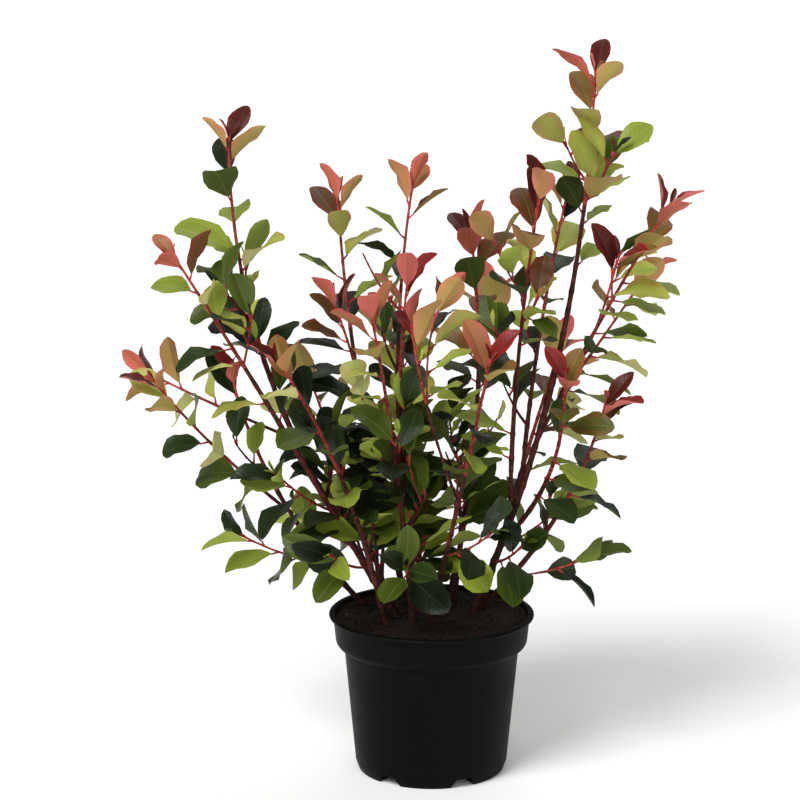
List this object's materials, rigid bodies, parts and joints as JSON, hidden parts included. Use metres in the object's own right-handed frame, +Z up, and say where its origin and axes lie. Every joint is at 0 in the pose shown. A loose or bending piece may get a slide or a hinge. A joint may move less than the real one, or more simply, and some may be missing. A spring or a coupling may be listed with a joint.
{
  "type": "potted little red robin photinia",
  "caption": "Small evergreen photinia shrub with red young shoots, several stems from one root, growing in a round black nursery pot filled with potting mix.",
  "frame": {"origin": "centre of the flat underside of the pot, on the surface that it stands on", "axes": "+Z up along the pot's axis, +X to the right of the shrub's best side, +Y away from that side"},
  "size_m": [0.537, 0.3475, 0.674],
  "materials": {
    "pot": "moulded polypropylene, finely textured, matt black",
    "soil": "granular moist peat potting mix, dark brown",
    "stem": "smooth young bark, brown at the foot and red towards the tips",
    "foliage": "leathery leaves, glossy dark green above and pale below, red and bronze at the tips"
  },
  "bodies": {
    "root": {"leaves_back_left": "foliage", "leaves_back_mid_left": "foliage", "leaves_back_mid_right": "foliage", "leaves_back_right": "foliage", "leaves_far_left_high": "foliage", "leaves_far_left_low": "foliage", "leaves_far_right_behind": "foliage", "leaves_far_right_high": "foliage", "leaves_front_left": "foliage", "leaves_front_middle": "foliage", "leaves_front_right": "foliage", "leaves_left_front": "foliage", "leaves_left_inner": "foliage", "leaves_left_low": "foliage", "leaves_left_tall": "foliage", "leaves_low_back": "foliage", "leaves_low_back_left": "foliage", "leaves_low_back_right": "foliage", "leaves_low_far_left": "foliage", "leaves_low_far_right": "foliage", "leaves_low_front": "foliage", "leaves_low_front_left": "foliage", "leaves_low_front_right": "foliage", "leaves_low_left": "foliage", "leaves_low_right": "foliage", "leaves_mid_left_short": "foliage", "leaves_mid_left_tall": "foliage", "leaves_mid_right_back": "foliage", "leaves_middle_fork": "foliage", "leaves_middle_right": "foliage", "leaves_middle_short": "foliage", "leaves_middle_tall": "foliage", "leaves_right_behind": "foliage", "leaves_right_low": "foliage", "leaves_right_tall": "foliage", "leaves_right_tall_inner": "foliage", "leaves_right_upright": "foliage", "pot": "pot", "soil": "soil", "stem_back_left": "stem", "stem_back_mid_left": "stem", "stem_back_mid_right": "stem", "stem_back_right": "stem", "stem_far_left_high": "stem", "stem_far_right_high": "stem", "stem_front_left": "stem", "stem_front_middle": "stem", "stem_front_right": "stem", "stem_left_front": "stem", "stem_left_inner": "stem", "stem_left_low": "stem", "stem_left_tall": "stem", "stem_mid_left_tall": "stem", "stem_mid_right_back": "stem", "stem_middle_right": "stem", "stem_middle_tall": "stem", "stem_right_behind": "stem", "stem_right_low": "stem", "stem_right_tall": "stem", "stem_right_tall_inner": "stem"}
  },
  "joints": []
}
